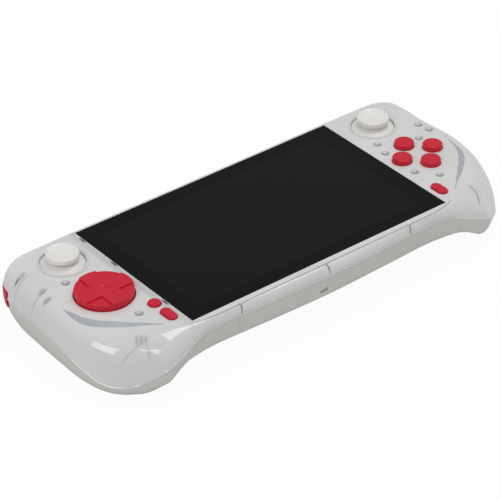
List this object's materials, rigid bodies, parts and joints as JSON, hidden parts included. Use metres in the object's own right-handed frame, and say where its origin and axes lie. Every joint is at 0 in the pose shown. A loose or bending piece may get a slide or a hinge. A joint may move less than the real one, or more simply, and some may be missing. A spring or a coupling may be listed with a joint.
{
  "type": "handheld game console",
  "caption": "Handheld game console with a wide glass screen between drooping grips, thumb sticks, a direction pad, face buttons, hinged bumpers and triggers in a two-shell body.",
  "frame": {"origin": "middle of the outline, at the height of the table the rear pads rest on", "axes": "+X across the screen to the right, +Y to the top edge with the ports, +Z out of the screen"},
  "size_m": [0.29, 0.1175, 0.0419],
  "materials": {
    "milky_plastic": "glossy, milky",
    "grey_white_plastic": "satin",
    "white_plastic": "satin",
    "red_plastic": "satin",
    "black_glass": "polished",
    "panel_glass": "polished",
    "steel": "plain",
    "aluminium": "plain",
    "circuit_board": "satin",
    "battery_wrap": "satin",
    "black_plastic": "matt",
    "rubber": "matt"
  },
  "bodies": {
    "console": {"front_shell": "milky_plastic", "rear_shell": "grey_white_plastic", "cover_glass": "black_glass", "glass_adhesive": "rubber", "display_panel": "panel_glass", "mid_frame": "aluminium", "main_board": "circuit_board", "processor_shield": "steel", "heat_spreader": "aluminium", "battery": "battery_wrap", "left_control_board": "circuit_board", "right_control_board": "circuit_board", "left_ribbon": "circuit_board", "right_ribbon": "circuit_board", "left_stick_base": "black_plastic", "right_stick_base": "black_plastic", "dpad_membrane": "rubber", "face_membrane": "rubber", "left_small_membrane": "rubber", "right_small_membrane": "rubber", "left_bumper_pin": "steel", "right_bumper_pin": "steel", "left_trigger_pin": "steel", "right_trigger_pin": "steel", "left_trigger_spring": "steel", "right_trigger_spring": "steel", "key_board": "circuit_board", "charging_port": "steel", "headphone_jack": "black_plastic", "card_reader": "steel", "left_speaker": "black_plastic", "right_speaker": "black_plastic", "left_motor": "steel", "right_motor": "steel", "microphone": "steel", "shell_screws": "steel", "control_board_screws": "steel", "main_board_screws": "steel"},
    "left_stick_ring": {"left_stick_ring": "steel"},
    "left_stick_shaft": {"left_stick_shaft": "steel"},
    "left_stick_cap": {"left_stick_cap": "white_plastic"},
    "left_bumper": {"left_bumper": "red_plastic"},
    "left_trigger": {"left_trigger": "red_plastic"},
    "left_oval_button": {"left_oval_button": "red_plastic"},
    "right_stick_ring": {"right_stick_ring": "steel"},
    "right_stick_shaft": {"right_stick_shaft": "steel"},
    "right_stick_cap": {"right_stick_cap": "white_plastic"},
    "right_bumper": {"right_bumper": "red_plastic"},
    "right_trigger": {"right_trigger": "red_plastic"},
    "right_oval_button": {"right_oval_button": "red_plastic"},
    "dpad_carrier": {"dpad_carrier": "black_plastic"},
    "dpad_cap": {"dpad_cap": "red_plastic"},
    "north_button": {"north_button": "red_plastic"},
    "east_button": {"east_button": "red_plastic"},
    "south_button": {"south_button": "red_plastic"},
    "west_button": {"west_button": "red_plastic"},
    "round_button": {"round_button": "red_plastic"},
    "power_button": {"power_button": "grey_white_plastic"},
    "volume_rocker": {"volume_rocker": "grey_white_plastic"}
  },
  "joints": [
    {"name": "left_stick_tilt_y", "type": "hinge", "parent": "console", "child": "left_stick_ring", "pos_m": [-0.1101, 0.0385, 0.0275], "axis": [1, 0, 0], "range_deg": [-14, 14], "stiffness_Nm_per_rad": 0.02},
    {"name": "left_stick_tilt_x", "type": "hinge", "parent": "left_stick_ring", "child": "left_stick_shaft", "pos_m": [-0.1101, 0.0385, 0.0275], "axis": [0, 1, 0], "range_deg": [-14, 14], "stiffness_Nm_per_rad": 0.02},
    {"name": "left_stick_click", "type": "slide", "parent": "left_stick_shaft", "child": "left_stick_cap", "axis": [0, 0, -1], "range_m": [0, 0.0005], "stiffness_N_per_m": 2000},
    {"name": "right_stick_tilt_y", "type": "hinge", "parent": "console", "child": "right_stick_ring", "pos_m": [0.1101, 0.0385, 0.0275], "axis": [1, 0, 0], "range_deg": [-14, 14], "stiffness_Nm_per_rad": 0.02},
    {"name": "right_stick_tilt_x", "type": "hinge", "parent": "right_stick_ring", "child": "right_stick_shaft", "pos_m": [0.1101, 0.0385, 0.0275], "axis": [0, 1, 0], "range_deg": [-14, 14], "stiffness_Nm_per_rad": 0.02},
    {"name": "right_stick_click", "type": "slide", "parent": "right_stick_shaft", "child": "right_stick_cap", "axis": [0, 0, -1], "range_m": [0, 0.0005], "stiffness_N_per_m": 2000},
    {"name": "dpad_rock_y", "type": "hinge", "parent": "console", "child": "dpad_carrier", "pos_m": [-0.1101, 0.0004, 0.0306], "axis": [1, 0, 0], "range_deg": [-3.5, 3.5], "stiffness_Nm_per_rad": 0.3},
    {"name": "dpad_rock_x", "type": "hinge", "parent": "dpad_carrier", "child": "dpad_cap", "pos_m": [-0.1101, 0.0004, 0.0306], "axis": [0, 1, 0], "range_deg": [-3.5, 3.5], "stiffness_Nm_per_rad": 0.3},
    {"name": "north_press", "type": "slide", "parent": "console", "child": "north_button", "axis": [0, 0, -1], "range_m": [0, 0.0012], "stiffness_N_per_m": 300},
    {"name": "east_press", "type": "slide", "parent": "console", "child": "east_button", "axis": [0, 0, -1], "range_m": [0, 0.0012], "stiffness_N_per_m": 300},
    {"name": "south_press", "type": "slide", "parent": "console", "child": "south_button", "axis": [0, 0, -1], "range_m": [0, 0.0012], "stiffness_N_per_m": 300},
    {"name": "west_press", "type": "slide", "parent": "console", "child": "west_button", "axis": [0, 0, -1], "range_m": [0, 0.0012], "stiffness_N_per_m": 300},
    {"name": "round_press", "type": "slide", "parent": "console", "child": "round_button", "axis": [0, 0, -1], "range_m": [0, 0.0008], "stiffness_N_per_m": 300},
    {"name": "left_oval_press", "type": "slide", "parent": "console", "child": "left_oval_button", "axis": [0, 0, -1], "range_m": [0, 0.0008], "stiffness_N_per_m": 300},
    {"name": "right_oval_press", "type": "slide", "parent": "console", "child": "right_oval_button", "axis": [0, 0, -1], "range_m": [0, 0.0008], "stiffness_N_per_m": 300},
    {"name": "left_bumper_press", "type": "hinge", "parent": "console", "child": "left_bumper", "pos_m": [-0.09715, 0.0524, 0.0225], "axis": [0, 0, 1], "range_deg": [0, 1.4], "stiffness_Nm_per_rad": 0.5},
    {"name": "right_bumper_press", "type": "hinge", "parent": "console", "child": "right_bumper", "pos_m": [0.09715, 0.0524, 0.0225], "axis": [0, 0, 1], "range_deg": [-1.4, 0], "stiffness_Nm_per_rad": 0.5},
    {"name": "left_trigger_pull", "type": "hinge", "parent": "console", "child": "left_trigger", "pos_m": [-0.119, 0.0454, 0.0115], "axis": [1, 0, 0], "range_deg": [-16, 0], "stiffness_Nm_per_rad": 0.05},
    {"name": "right_trigger_pull", "type": "hinge", "parent": "console", "child": "right_trigger", "pos_m": [0.119, 0.0454, 0.0115], "axis": [1, 0, 0], "range_deg": [-16, 0], "stiffness_Nm_per_rad": 0.05},
    {"name": "power_press", "type": "slide", "parent": "console", "child": "power_button", "axis": [0, -1, 0], "range_m": [0, 0.0005], "stiffness_N_per_m": 400},
    {"name": "volume_rock", "type": "hinge", "parent": "console", "child": "volume_rocker", "pos_m": [-0.045, 0.0549, 0.0235], "axis": [0, 0, 1], "range_deg": [-2.5, 2.5], "stiffness_Nm_per_rad": 0.05}
  ]
}
